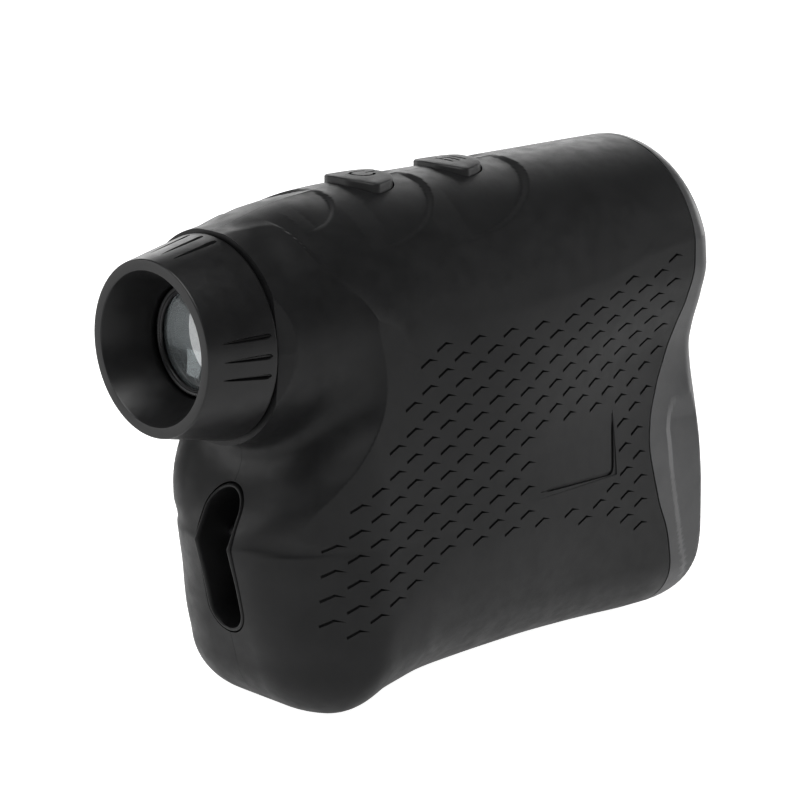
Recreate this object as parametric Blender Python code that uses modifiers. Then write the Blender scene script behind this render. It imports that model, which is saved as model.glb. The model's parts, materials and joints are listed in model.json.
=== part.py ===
"""Compact laser rangefinder: clamshell body, front cover, diopter eyepiece, optics and electronics.

Design frame, in millimetres: X right, Y forward along the line of sight, Z up, origin on the eyepiece
axis in the plane of the eyecup rim. Everything is written to the scene in metres, moved so that the
origin is the centre of the base.
"""

import math

import bmesh
import bpy
import numpy as np
from mathutils import Matrix, Vector

MM = 0.001
GAP = 0.3  # clearance between touching solids
WALL = 1.8  # shell thickness
Z_BASE = -54.1  # flat underside
FRONT = 93.4  # foremost plane of the front cover
Y_MID = FRONT / 2
BOSS_END = 10.5  # rear end of the round boss that carries the eyepiece
CAVITY_REAR = 12.6
CREASE = 0.06  # how much the creases between the body's surfaces are eased
OBJ_Z = 1.0  # objective axis height
RX_Z = -37.0  # receiver axis height
SLOT_TOP, SLOT_BOTTOM, SLOT_R = -21.0, -42.0, 4.15
BUTTONS = {"power_button": 38.0, "mode_button": 55.0}
TRAVEL = 0.8
CAP_TOP = 18.7
CROWN = 24.0  # radius of the keys' crowned tops
SCREWS = ((66.0, -17.0), (27.7, -48.4), (62.0, -46.6), (26.2, -15.2))
USB_Y, USB_Z = 38.0, -32.0
SLOTS = {
    "body_shell": (0.035, 0.036, 0.038),
    "cover_shell": (0.09, 0.09, 0.095),
    "grip_ring": (0.03, 0.03, 0.032),
    "black_metal": (0.02, 0.02, 0.022),
    "button_rubber": (0.05, 0.05, 0.052),
    "seal_rubber": (0.03, 0.03, 0.03),
    "lens_glass": (0.75, 0.82, 0.85),
    "steel": (0.6, 0.6, 0.6),
    "board": (0.03, 0.16, 0.07),
    "chip": (0.04, 0.04, 0.045),
    "inner_plastic": (0.06, 0.06, 0.065),
    "foil": (0.55, 0.56, 0.58),
    "flex": (0.45, 0.22, 0.05),
}


# ---------------------------------------------------------------- body shape
def curve(t, knots):
    """A smooth curve through (t, value) knots that never overshoots them."""
    xs = np.array([k[0] for k in knots], float)
    ys = np.array([k[1] for k in knots], float)
    d = np.diff(ys) / np.diff(xs)
    m = np.zeros_like(ys)
    both = d[:-1] * d[1:] > 0
    m[1:-1][both] = 2 * d[:-1][both] * d[1:][both] / (d[:-1][both] + d[1:][both])
    m[0], m[-1] = d[0], d[-1]
    t = np.clip(t, xs[0], xs[-1])
    i = np.clip(np.searchsorted(xs, t) - 1, 0, len(xs) - 2)
    h = xs[i + 1] - xs[i]
    s = (t - xs[i]) / h
    value = (1 + 2 * s) * (1 - s) ** 2 * ys[i] + s * (1 - s) ** 2 * h * m[i]
    return value + s * s * (3 - 2 * s) * ys[i + 1] + s * s * (s - 1) * h * m[i + 1]


def smooth_max(a, b, k):
    h = np.maximum(k - np.abs(a - b), 0.0) / k
    return np.maximum(a, b) + h * h * k / 4


def smooth_min(a, b, k):
    return -smooth_max(-a, -b, k)


def round_max(a, b, r):
    """Two walls met by a fillet of radius r."""
    return np.hypot(np.maximum(a + r, 0), np.maximum(b + r, 0)) - r + np.minimum(np.maximum(a, b) + r, 0)


def tube_axis(y):
    return curve(y, ((0, -0.3), (10, -0.1), (25, 0.8), (40, 1.0), (100, 1.0)))


def tube_radius(y):
    return curve(y, ((-5, 14.5), (9, 14.6), (13, 14.9), (17, 15.6), (23, 16.4), (34, 17.0), (60, 17.3), (100, 17.4)))


def tube(x, y, z):
    """The round upper lobe."""
    return round_max(np.hypot(x, z - tube_axis(y)) - tube_radius(y), BOSS_END - 4 - y, 0.5)


def side_lean(y):
    """How far from upright the flank leans, in radians: nearly flat over the neck, steep further forward."""
    knots = ((12, 88), (17, 78), (18.7, 50), (21.9, 31), (26, 19), (30.8, 10), (34, 9), (60, 9))
    return np.radians(curve(y, knots))


def flank(x, y, z):
    """The round top of the upper lobe, carried straight down at the side lean."""
    r = tube_radius(y) - 0.15
    dz = z - tube_axis(y)
    lean = side_lean(y)
    straight = np.abs(x) - (r * np.cos(lean) + (r * np.sin(lean) - dz) * np.tan(lean))
    return np.where(dz > np.abs(x) * np.tan(lean), np.hypot(x, dz) - r, straight * np.cos(lean))


def rear_low(z):
    """The rear face of the grip, below the bend of the strap slot."""
    return curve(z, ((-60, 16.2), (-46, 14.0), (-42, 13.0), (-35, 11.5), (-28.8, 9.9), (-20, 8.2), (0, 4)))


def rear_high(z):
    """The rear face of the neck, above the bend of the strap slot."""
    return curve(
        z,
        ((-60, -4), (-40, 4.0), (-28.8, 9.9), (-24.5, 11.9), (-20.7, 14.2), (-16, 17.3), (-8, 22.5), (0, 25),
         (8, 27), (20, 29)),
    )


def rear_line(z):
    """How far back the rear reaches at each height: furthest at the bend of the strap slot."""
    return np.maximum(rear_low(z), rear_high(z))


def neck(x, y, z):
    """From the round eyepiece boss down and out to the grip."""
    wide = curve(z, ((-60, 18.3), (-28.8, 18.3), (-25.4, 19.8), (-21, 21.6), (-18, 22.3), (-9, 22.5), (0, 21.5)))
    corner = curve(z, ((-60, 17), (-28.8, 17), (-25.4, 15.2), (-21, 14), (0, 14)))
    return smooth_min(tube(x, y, z), round_max(np.abs(x) - wide, rear_high(z) - y, corner), 6.0)


def panel(x, y, z):
    """The grip panels: slab-sided at mid length, waisted towards the figure-eight front."""
    t = np.clip((y - 46) / 46, 0, 1)
    t = t * t * (3 - 2 * t)
    crown = curve(y, ((28, 0.0028), (34, 0.0027), (44, 0.0023), (60, 0.0018), (70, 0.0013)))
    middle = 18.3 - crown * np.maximum(z + 20, 0) ** 2
    front = curve(
        z,
        ((-60, 16.2), (-40, 16.4), (-33, 16.3), (-27, 15.8), (-20, 14.5), (-15, 13.5), (-12, 13.2),
         (-9, 13.8), (-4, 15.6), (1, 16.9), (6, 16.7), (12, 16), (20, 15)),
    )
    return np.abs(x) - ((1 - t) * middle + t * front)


def grip(x, y, z):
    """The side panels carried round the rear corners to the lower rear face."""
    corner = curve(z, ((-60, 13), (-42, 14), (-33, 16), (-28, 17), (0, 17)))
    return round_max(panel(x, y, z), rear_low(z) - y, corner)


def finger_scoop(x, y, z):
    out = curve(
        y,
        ((16, 9), (24, 6.2), (29, 4.1), (34, 2.9), (40, 1.8), (47, 1.3), (55, 0.9), (63.5, 0.7), (72, 1.1),
         (78.5, 1.8), (84, 2.6), (100, 3.5)),
    )
    return (np.abs(x) - (13.4 + out + (z + 46) * 0.384)) * 0.93


def body(x, y, z):
    """Signed depth of the whole outer skin, negative inside."""
    side = smooth_max(smooth_max(flank(x, y, z), grip(x, y, z), CREASE), neck(x, y, z), CREASE)
    side = smooth_max(side, finger_scoop(x, y, z), 2.5)
    fillet = curve(y, ((0, 7.5), (20, 8), (30, 9.5), (45, 11), (80, 10.5), (100, 11)))
    return round_max(side, Z_BASE - z, fillet)


def shell_skin(x, y, z):
    """The skin run on past the seam, where the shells are then cut."""
    return np.maximum(body(x, y, z), y - 99)


def cavity(x, y, z):
    return np.maximum(smooth_max(body(x, y, z) + WALL, CAVITY_REAR - y, 1.0), y - 97)


def front_plane(z):
    return curve(z, ((-60, 89), (-54, 90.6), (-48, 92.6), (-40, FRONT), (-12, FRONT), (2, 92.6), (20, 91.6)))


def cover_skin(x, y, z):
    return round_max(body(x, y, z), y - front_plane(z), 3.0)


def cover_hollow(x, y, z):
    return smooth_max(body(x, y, z) + WALL + GAP, y - front_plane(z) + 2.6, 1.0)


def part_line(z):
    """The seam between the clamshell and the front cover, seen from the side."""
    return curve(
        z,
        ((-60, 88), (-54.1, 87.5), (-48, 86.2), (-43, 85), (-38, 83.6), (-33.8, 81.9), (-29, 80.7),
         (-25.5, 80.2), (-21.3, 81.0), (-16.9, 83.2), (-11.5, 86.4), (-8, 87.4), (-4, 88.0), (5, 88.3), (20, 88.5)),
    )


# Rays that find the skin: from (y, z) on an inner loop towards (y, z) on the side outline.
RAYS = (
    (30, -2, -6, 2), (29, -1.5, -6, 6), (28, -1, -6, 12), (28, 0, 2, 15), (28, 1, 10, 15), (29, 2, 16, 17),
    (31, 3, 24, 18), (36, 4, 34, 18), (50, 4, 50, 18), (66, 4, 66, 18), (76, 4, 78, 18), (82, 3, 90, 18),
    (84, 2, 100, 16), (85, 0, 110, 8), (85, -6, 110, -3), (84, -14, 110, -14), (84, -22, 110, -22),
    (84, -30, 110, -32), (83, -36, 106, -46), (80, -39, 92, -54), (74, -40, 78, -54), (60, -40, 60, -54),
    (45, -40, 44, -54), (36, -39, 31, -54), (31, -37, 20, -52), (29, -34, 14, -46), (28, -31, 11, -38),
    (28, -28, 10, -29), (28, -24, 12, -24), (28, -20, 15, -20.5), (28, -14, 17, -17.2), (28, -9, 13.5, -16),
    (28, -6, 10, -15.3), (28.5, -4, 2, -14.5), (29, -3.2, -6, -9), (29.5, -2.6, -6, -4),
)
CENTRE = (56.0, -18.0)


def ray_loop(count):
    """count rays spread evenly round the outline, as rows of (y, z, towards y, towards z)."""
    rows = np.array(RAYS, float)
    step = np.hypot(*(np.roll(rows[:, 2:], -1, 0) - rows[:, 2:]).T) + 2.0
    along = np.concatenate([[0], np.cumsum(step)])
    closed = np.vstack([rows, rows[:1]])
    at = np.linspace(0, along[-1], count, endpoint=False)
    return np.column_stack([np.interp(at, along, closed[:, c]) for c in range(4)])


def shoot(depth, start, way):
    """The first points along the rays where depth turns positive."""
    low = np.zeros(len(start))
    high = np.full(len(start), 60.0)
    found = np.zeros(len(start), bool)
    for t in np.arange(0.75, 60.0, 0.75):
        out = depth(*(start + way * t).T) > 0
        new = out & ~found
        low[new], high[new] = t - 0.75, t
        found |= out
    for _ in range(24):
        middle = (low + high) / 2
        out = depth(*(start + way * middle[:, None]).T) > 0
        high = np.where(out, middle, high)
        low = np.where(out, low, middle)
    return start + way * ((low + high) / 2)[:, None]


def half_skin(depth, around, across, inward):
    """Right half of a skin: rings of points from the outline at X = 0 in to a pole on the side."""
    rays = ray_loop(around)
    flat = rays[:, 2:] - rays[:, :2]
    flat /= np.linalg.norm(flat, axis=1)[:, None]
    zero = np.zeros(around)
    rings = []
    for j in range(across + 1):
        a = j / across * math.pi / 2
        way = np.column_stack([zero + math.sin(a), math.cos(a) * flat])
        rings.append(shoot(depth, np.column_stack([zero, rays[:, :2]]), way))
    sideways = np.tile([1.0, 0.0, 0.0], (around, 1))
    for j in range(1, inward):
        s = 1 - j / inward
        at = np.array(CENTRE) + s * (rays[:, :2] - CENTRE)
        rings.append(shoot(depth, np.column_stack([zero, at]), sideways))
    pole = shoot(depth, np.array([[0.0, *CENTRE]]), sideways[:1])
    return rings, pole


def grid_faces(first, count, rings, flip):
    faces = []
    for j in range(rings - 1):
        for i in range(count):
            a, b = first + j * count + i, first + j * count + (i + 1) % count
            face = (a, a + count, b + count, b)
            faces.append(face[::-1] if flip else face)
    last = first + (rings - 1) * count
    for i in range(count):
        face = (last + i, last + count, last + (i + 1) % count)
        faces.append(face[::-1] if flip else face)
    return faces


# ---------------------------------------------------------------- scene helpers
def place(p):
    """A design point as a scene point."""
    return Vector((p[0] * MM, (p[1] - Y_MID) * MM, (p[2] - Z_BASE) * MM))


def clear_scene():
    for obj in list(bpy.data.objects):
        bpy.data.objects.remove(obj, do_unlink=True)
    for block in list(bpy.data.collections):
        bpy.data.collections.remove(block)


def collection(name):
    made = bpy.data.collections.new(name)
    bpy.context.scene.collection.children.link(made)
    return made


def paint(obj, slot):
    material = bpy.data.materials.new(obj.name + "_" + slot)
    material.use_nodes = True
    shader = material.node_tree.nodes["Principled BSDF"]
    shader.inputs["Base Color"].default_value = (*SLOTS[slot], 1)
    shader.inputs["Roughness"].default_value = 0.1 if slot == "lens_glass" else 0.55
    shader.inputs["Metallic"].default_value = 1.0 if slot in ("steel", "foil") else 0.0
    obj.data.materials.append(material)


def add(name, mesh, slot, pivot=(0, 0, 0), turn=None):
    obj = bpy.data.objects.new(name, mesh)
    obj.matrix_world = Matrix.Translation(place(pivot)) @ (turn or Matrix.Identity(4))
    if slot is None:
        CUTTERS.objects.link(obj)
        obj.hide_render = True
        obj.display_type = "WIRE"
    else:
        PARTS.objects.link(obj)
        paint(obj, slot)
    return obj


def mesh_from(name, points, faces, pivot=(0, 0, 0)):
    mesh = bpy.data.meshes.new(name)
    origin = place(pivot)
    mesh.from_pydata([place(p) - origin for p in points], [], faces)
    mesh.update()
    return mesh


def bevel(obj, width, segments=2):
    mod = obj.modifiers.new("edge", "BEVEL")
    mod.width = width * MM
    mod.segments = segments
    mod.limit_method = "ANGLE"
    mod.angle_limit = math.radians(40)
    return obj


def box(name, low, high, slot, edge=0.0):
    middle = [(a + b) / 2 for a, b in zip(low, high)]
    bm = bmesh.new()
    bmesh.ops.create_cube(bm, size=1.0)
    bmesh.ops.scale(bm, vec=[(b - a) * MM for a, b in zip(low, high)], verts=bm.verts)
    mesh = bpy.data.meshes.new(name)
    bm.to_mesh(mesh)
    bm.free()
    obj = add(name, mesh, slot, middle)
    return bevel(obj, edge) if edge else obj


AXES = {
    "x": Matrix.Rotation(math.radians(90), 4, "Y"),
    "y": Matrix.Rotation(math.radians(-90), 4, "X"),
    "z": Matrix.Identity(4),
}


def turned(name, profile, axis, pivot, slot, steps=32, closed=False):
    """A turned piece. profile lists (radius, distance along the axis from the pivot), outer side first,
    from the far end back; a closed one is a ring section."""
    mesh = bpy.data.meshes.new(name)
    edges = [(i, i + 1) for i in range(len(profile) - 1)]
    if closed:
        edges.append((len(profile) - 1, 0))
    mesh.from_pydata([(r * MM, 0, h * MM) for r, h in profile], edges, [])
    obj = add(name, mesh, slot, pivot, AXES[axis])
    mod = obj.modifiers.new("turn", "SCREW")
    mod.steps = mod.render_steps = steps
    mod.use_merge_vertices = True
    mod.merge_threshold = 0.00001
    mod.use_smooth_shade = False
    return obj


def ring(name, r_out, r_in, start, end, pivot, slot, steps=32, axis="y"):
    profile = ((r_out, end), (r_out, start), (r_in, start), (r_in, end))
    return turned(name, profile, axis, pivot, slot, steps, closed=True)


def rod(name, r, start, end, pivot, slot, axis="y", steps=24):
    return turned(name, ((0, end), (r, end), (r, start), (0, start)), axis, pivot, slot, steps)


def lens(name, r, rear, front, rear_sag, front_sag, pivot, slot="lens_glass"):
    """A lens whose faces bulge by the sags; rear and front are its rim positions."""
    steps = 3
    front_arc = [(r * i / steps, front + front_sag * (1 - (i / steps) ** 2)) for i in range(steps + 1)]
    rear_arc = [(r * i / steps, rear - rear_sag * (1 - (i / steps) ** 2)) for i in range(steps, -1, -1)]
    return turned(name, front_arc + rear_arc, "y", pivot, slot, 32)


def prism(name, outline, axis, low, high, slot, pivot=None):
    """A closed outline pushed straight along an axis. Along x it lists (y, z); along z it lists (x, y);
    along y it lists (x, z)."""
    def at(p, t):
        return {"x": (t, *p), "y": (p[0], t, p[1]), "z": (*p, t)}[axis]

    n = len(outline)
    points = [at(p, low) for p in outline] + [at(p, high) for p in outline]
    faces = [tuple(range(n))[::-1], tuple(range(n, 2 * n))]
    faces += [(i, (i + 1) % n, n + (i + 1) % n, n + i) for i in range(n)]
    pivot = pivot or (0, 0, 0)
    mesh = mesh_from(name, points, faces, pivot)
    bm = bmesh.new()
    bm.from_mesh(mesh)
    bmesh.ops.recalc_face_normals(bm, faces=bm.faces)
    bm.to_mesh(mesh)
    bm.free()
    return add(name, mesh, slot, pivot)


def pegs(name, rows, steps=14):
    """One cutter of several cylinders along X; rows list (radius, from x, to x, y, z)."""
    bm = bmesh.new()
    for r, low, high, y, z in rows:
        pose = Matrix.Translation(place(((low + high) / 2, y, z))) @ AXES["x"]
        bmesh.ops.create_cone(
            bm, cap_ends=True, segments=steps, radius1=r * MM, radius2=r * MM, depth=(high - low) * MM,
            matrix=Matrix.Translation(-place((0, 0, 0))) @ pose,
        )
    mesh = bpy.data.meshes.new(name)
    bm.to_mesh(mesh)
    bm.free()
    return add(name, mesh, None)


def boolean(obj, other, operation="DIFFERENCE"):
    mod = obj.modifiers.new(other.name, "BOOLEAN")
    mod.operation = operation
    mod.solver = "EXACT"
    mod.object = other


# ---------------------------------------------------------------- shells
def stadium(r, top, bottom, steps=8):
    """A slot outline in (x, z), rounded top and bottom."""
    arc = [math.pi * i / steps for i in range(steps + 1)]
    upper = [(r * math.cos(a), top - r + r * math.sin(a)) for a in arc]
    lower = [(-r * math.cos(a), bottom + r - r * math.sin(a)) for a in arc]
    return upper + [(-r, BEND_Z)] + lower + [(r, BEND_Z)]


BEND_Z = -28.8


def key_outline(grow=0.0, steps=36):
    """A key's outline in (x, y) about its centre: a wide flat rear edge with round corners, and a round front."""
    circles = ((-4.1, -1.9, 1.2), (4.1, -1.9, 1.2), (-1.0, -0.7, 3.9), (1.0, -0.7, 3.9))
    points = []
    for i in range(steps):
        a = 2 * math.pi * (i + 0.5) / steps
        c, d = math.cos(a), math.sin(a)
        x, y, r = max(circles, key=lambda at: at[0] * c + at[1] * d + at[2])
        points.append((x + (r + grow) * c, y + (r + grow) * d))
    return points


def shell_half(name, side):
    """One half of the clamshell: outer skin, inner skin and the flat edge where the halves meet."""
    around = 60
    outer, outer_pole = half_skin(shell_skin, around, 8, 2)
    inner, inner_pole = half_skin(cavity, around, 5, 2)
    points = np.vstack(outer + [outer_pole] + inner + [inner_pole])
    points[:, 0] = np.maximum(points[:, 0], GAP / 2) * side
    flip = side < 0
    second = len(outer) * around + 1
    faces = grid_faces(0, around, len(outer), flip) + grid_faces(second, around, len(inner), not flip)
    for i in range(around):
        a, b = i, (i + 1) % around
        face = (second + a, a, b, second + b)
        faces.append(face[::-1] if flip else face)
    mesh = mesh_from(name, points, faces)
    return add(name, mesh, "body_shell")


def skin_solid(name, depth, around, across, inward, slot):
    """A whole closed skin, both halves."""
    rings, pole = half_skin(depth, around, across, inward)
    right = np.vstack(rings + [pole])
    count = len(right)
    left = right * (-1, 1, 1)
    faces = grid_faces(0, around, len(rings), False)
    mirror = [tuple(v if v < around else v + count for v in f[::-1]) for f in faces]
    mesh = mesh_from(name, np.vstack([right, left]), faces + mirror)
    bm = bmesh.new()
    bm.from_mesh(mesh)
    bmesh.ops.delete(bm, geom=[v for v in bm.verts if not v.link_faces], context="VERTS")
    bm.to_mesh(mesh)
    bm.free()
    return add(name, mesh, slot)


def seam_prism(name, offset, forward):
    """Everything ahead of (or behind) the seam, for cutting."""
    heights = np.linspace(24, -60, 57)
    line = [(float(part_line(z)) + offset, float(z)) for z in heights]
    far = 130 if forward else -40
    return prism(name, line + [(far, -60), (far, 24)], "x", -30, 30, None)


def build_shells():
    right = shell_half("housing_right", 1)
    left = shell_half("housing_left", -1)
    ahead = seam_prism("cut_ahead", -GAP / 2, True)
    boss = box("cut_boss_end", (-20, -20, -15.9), (20, BOSS_END, 25), None)
    bore = rod("cut_eyepiece_bore", 11.3, 5, 20, (0, 0, 0), None, steps=48)
    slot = prism("cut_strap_slot", stadium(SLOT_R, SLOT_TOP, SLOT_BOTTOM), "y", 2, 22, None)
    wells = []
    for name, y in BUTTONS.items():
        outline = [(x, y + v) for x, v in key_outline(0.35)]
        wells.append(prism("cut_" + name, outline, "z", 12, 24, None))
    for half, side in ((right, 1), (left, -1)):
        tag = "right" if side > 0 else "left"
        posts = []
        for (y, z), reach in zip(SCREWS, (15.5, 12.6, 10.4, 16.4)):
            posts.append((2.6, *sorted((side * GAP / 2, side * reach)), y, z))
        boolean(half, pegs("posts_" + tag, posts), "UNION")
        if side < 0:
            pad = box("usb_pad", (-17.0, USB_Y - 8.3, USB_Z - 5), (-13.8, USB_Y + 8.3, USB_Z + 5), None)
            boolean(half, pad, "UNION")
        for cutter in (ahead, boss, bore, slot, *wells):
            boolean(half, cutter)
    boolean(right, pegs("cut_pilots", [(1.1, -2, 6.5, y, z) for y, z in SCREWS]))
    boolean(left, pegs("cut_screw_shanks", [(1.15, -20, 2, y, z) for y, z in SCREWS]))
    boolean(left, pegs("cut_screw_heads", [(2.2, -30, -5.3, y, z) for y, z in SCREWS]))
    boolean(left, box("cut_usb_recess", (-30, USB_Y - 7, USB_Z - 3.6), (-16.1, USB_Y + 7, USB_Z + 3.9), None))
    boolean(left, box("cut_usb_window", (-30, USB_Y - 4.8, USB_Z - 2), (-10, USB_Y + 4.8, USB_Z + 2), None))


def build_cover():
    cover = skin_solid("front_cover", cover_skin, 64, 8, 2, "cover_shell")
    boolean(cover, seam_prism("cut_behind", GAP / 2, False))
    boolean(cover, skin_solid("cut_cover_hollow", cover_hollow, 44, 5, 2, None))
    boolean(cover, rod("cut_objective_bore", 12.6, 70, 110, (0, 0, OBJ_Z), None, steps=48))
    boolean(cover, rod("cut_receiver_bore", 10.3, 70, 110, (0, 0, RX_Z), None, steps=40))


def build_strap_slot():
    """The thin lip round the strap slot, a cup let into the rear wall, and the bar the strap loops."""
    def rims(r, inset):
        outline = stadium(r, SLOT_TOP - inset, SLOT_BOTTOM + inset)
        return outline, [(x, float(rear_line(z)) - 0.3, z) for x, z in outline]

    outer, outer_rim = rims(SLOT_R - 0.4, 0.4)
    inner, inner_rim = rims(SLOT_R - 1.3, 1.3)
    floor, back = 19.0, 20.0
    rings = [[(x, back, z) for x, z in outer], outer_rim, inner_rim, [(x, floor, z) for x, z in inner]]
    n = len(outer)
    points = [p for row in rings for p in row]
    faces = [tuple(range(n)), tuple(range(3 * n, 4 * n))[::-1]]
    for j in range(3):
        for i in range(n):
            a, b = j * n + i, j * n + (i + 1) % n
            faces.append((b, a, a + n, b + n))
    mesh = mesh_from("strap_liner", points, faces)
    bm = bmesh.new()
    bm.from_mesh(mesh)
    bmesh.ops.recalc_face_normals(bm, faces=bm.faces)
    bm.to_mesh(mesh)
    bm.free()
    liner = add("strap_liner", mesh, "inner_plastic")
    boolean(liner, rod("cut_bar_holes", 1.2, -6, 6, (0, 16.4, BEND_Z), None, "x", 20))
    rod("strap_bar", 0.9, -3.1, 3.1, (0, 16.4, BEND_Z), "steel", "x", 20)


# ---------------------------------------------------------------- eyepiece
def build_eyepiece():
    profile = (
        (11.9, 14.6), (11.9, 15.3), (10.1, 15.3), (10.1, 9.4), (8.6, 9.4), (8.6, 7.2), (7.9, 7.2), (7.9, 6.4),
        (8.5, 5.0), (10.3, 0.5), (10.6, 0.0), (11.7, 0.0), (12.0, 0.5), (13.2, 6.0), (14.0, 9.9), (13.8, 10.2),
        (11.0, 10.2), (11.0, 14.6),
    )
    grip = turned("diopter_ring", profile[::-1], "y", (0, 0, 0), "grip_ring", 40, closed=True)
    tool = bmesh.new()
    for quarter in range(4):
        for k in (-1, 0, 1):
            a = math.radians(90 * quarter) + k * 2.6 / 13.2
            pose = Matrix.Rotation(a, 4, "Y") @ Matrix.Translation((13.15 * MM, 5.9 * MM, 0)) @ Matrix.Diagonal(
                (1.0 * MM, 6.6 * MM, 0.7 * MM, 1))
            bmesh.ops.create_cube(tool, size=1.0, matrix=pose)
    mesh = bpy.data.meshes.new("cut_grip_grooves")
    tool.to_mesh(mesh)
    tool.free()
    boolean(grip, add("cut_grip_grooves", mesh, None, (0, 0, 0)))
    guide = ((9.8, 11.0), (9.8, 22.0), (12.2, 22.0), (12.2, 23.2), (9.2, 23.2), (9.2, 11.0))
    turned("eyepiece_guide", guide[::-1], "y", (0, 0, 0), "inner_plastic", 32, closed=True)
    ring("eyepiece_cell", 8.9, 7.7, 11.2, 23.0, (0, 0, 0), "black_metal")
    stop = (
        (7.6, 7.2), (7.6, 9.2), (8.3, 9.2), (8.3, 10.9), (7.4, 10.9), (7.4, 12.0), (6.6, 12.0), (6.6, 10.0),
        (7.1, 10.0), (7.1, 7.5), (6.75, 7.5), (6.75, 7.2),
    )
    turned("eyepiece_stop_ring", stop[::-1], "y", (0, 0, 0), "black_metal", 32, closed=True)
    lens("eye_lens", 6.95, 8.0, 9.4, 0.7, 0.5, (0, 0, 0))
    ring("lens_spacer", 7.4, 6.6, 12.3, 18.2, (0, 0, 0), "black_metal", 32)
    lens("field_lens", 7.4, 19.2, 20.4, 0.6, 0.9, (0, 0, 0))
    ring("cell_lock_ring", 7.4, 6.4, 21.6, 22.8, (0, 0, 0), "black_metal", 32)


# ---------------------------------------------------------------- optics
def build_optics():
    box("lcd_panel", (-6.5, 26.2, -6.5), (6.5, 27.8, 6.5), "lens_glass")
    frame = box("lcd_frame", (-9.0, 25.0, -8.6), (9.0, 28.8, 8.0), "inner_plastic")
    boolean(frame, box("cut_lcd_seat", (-6.8, 20, -6.8), (6.8, 35, 6.8), None))
    holder = box("prism_holder", (-10.0, 30.0, -12.6), (10.0, 52.0, 8.9), "inner_plastic", 0.5)
    boolean(holder, box("cut_prism_bay", (-8.2, 20, -9.2), (8.2, 60, 7.2), None))
    boolean(holder, rod("cut_laser_port", 3.4, -20, -5, (0, 45.0, 0), None, "z", 24))
    roof = ((31.0, 6.6), (31.0, -6.6), (36.5, -8.8), (41.5, -2.0), (39.0, 6.6))
    prism("roof_prism", roof, "x", -7.6, 7.6, "lens_glass")
    penta = ((42.2, -1.4), (46.0, -8.8), (51.2, -8.0), (51.2, 6.6), (40.2, 6.6))
    prism("half_penta_prism", penta, "x", -7.6, 7.6, "lens_glass")
    ring("objective_tube", 13.9, 12.5, 64.0, 88.0, (0, 0, OBJ_Z), "black_metal")
    lens("objective_lens", 12.2, 83.8, 86.2, 0.8, 1.6, (0, 0, OBJ_Z))
    ring("objective_ring", 12.2, 11.0, 88.2, 91.4, (0, 0, OBJ_Z), "black_metal")
    cone = ((11.4, 89.4), (11.4, 80.0), (5.6, 62.0), (4.4, 62.0), (10.2, 80.4), (10.2, 89.4))
    turned("receiver_tube", cone, "y", (0, 0, RX_Z), "black_metal", 32, closed=True)
    lens("receiver_lens", 9.9, 83.4, 86.0, 0.4, 1.8, (0, 0, RX_Z))
    ring("receiver_ring", 9.9, 8.8, 88.2, 91.8, (0, 0, RX_Z), "black_metal", 32)
    rod("apd_detector", 3.2, 56.4, 61.4, (0, 0, RX_Z), "steel")
    plate = box("detector_board", (-8.0, 54.6, RX_Z - 8), (8.0, 56.0, RX_Z + 8), "board")
    bevel(plate, 0.3, 1)
    rod("laser_diode", 2.8, -17.6, -13.6, (0, 45.0, 0), "steel", "z", 28)
    ring("laser_holder", 5.2, 3.1, -16.6, -13.0, (0, 45.0, 0), "inner_plastic", 28, "z")


# ---------------------------------------------------------------- electronics
def build_electronics():
    box("main_board", (-7.3, 22.0, -45.2), (-5.8, 53.0, -18.4), "board")
    box("processor_chip", (-5.5, 28.0, -33.0), (-4.3, 36.0, -25.0), "chip")
    box("regulator_chip", (-5.5, 40.0, -30.0), (-4.1, 45.0, -25.0), "chip")
    port = box("usb_port", (-13.4, USB_Y - 4.4, USB_Z - 1.6), (-7.6, USB_Y + 4.4, USB_Z + 1.6), "steel", 0.6)
    boolean(port, box("cut_port_mouth", (-20, USB_Y - 3.7, USB_Z - 0.9), (-9, USB_Y + 3.7, USB_Z + 0.9), None))
    box("battery_cell", (3.0, 24.0, -44.0), (10.8, 50.0, -20.4), "foil", 1.2)
    tray = box("battery_tray", (1.6, 22.8, -45.2), (11.4, 51.2, -19.2), "inner_plastic")
    boolean(tray, box("cut_tray", (2.7, 23.7, -44.4), (20, 50.3, -20.1), None))
    box("button_board", (-6.0, 31.0, 9.5), (6.0, 63.0, 10.3), "board")
    for name, y in BUTTONS.items():
        switch = name.replace("button", "switch")
        box(switch, (-2.6, y - 2.6, 10.6), (2.6, y + 2.6, 12.2), "chip", 0.3)
    sheet = box("button_seal", (-5.9, 30.6, 13.7), (5.9, 63.0, 14.4), "seal_rubber")
    for name, y in BUTTONS.items():
        boolean(sheet, rod("cut_seal_" + name, 2.4, 10, 20, (0, y, 0), None, "z", 20))
    ribbon = ((-12.0, 10.0), (-6.3, 10.0), (-6.3, 9.6), (-11.6, 9.6), (-11.6, -19.6), (-7.6, -19.6), (-7.6, -20.0), (-12.0, -20.0))
    prism("flex_cable", ribbon, "y", 36.0, 42.0, "flex")


def build_buttons():
    for name, y in BUTTONS.items():
        outline = [(x, y + v) for x, v in key_outline()]
        cap = prism(name, outline, "z", 15.6, CAP_TOP + 1, "button_rubber", (0, y, 17.0))
        crown = rod("crown_" + name, CROWN, y - 8, y + 8, (0, 0, CAP_TOP - CROWN), None, steps=120)
        boolean(cap, crown, "INTERSECT")
        bevel(cap, 0.3, 1)
        boolean(cap, rod("stem_" + name, 2.0, 13.1, 16.4, (0, y, 0), None, "z", 20), "UNION")


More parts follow.
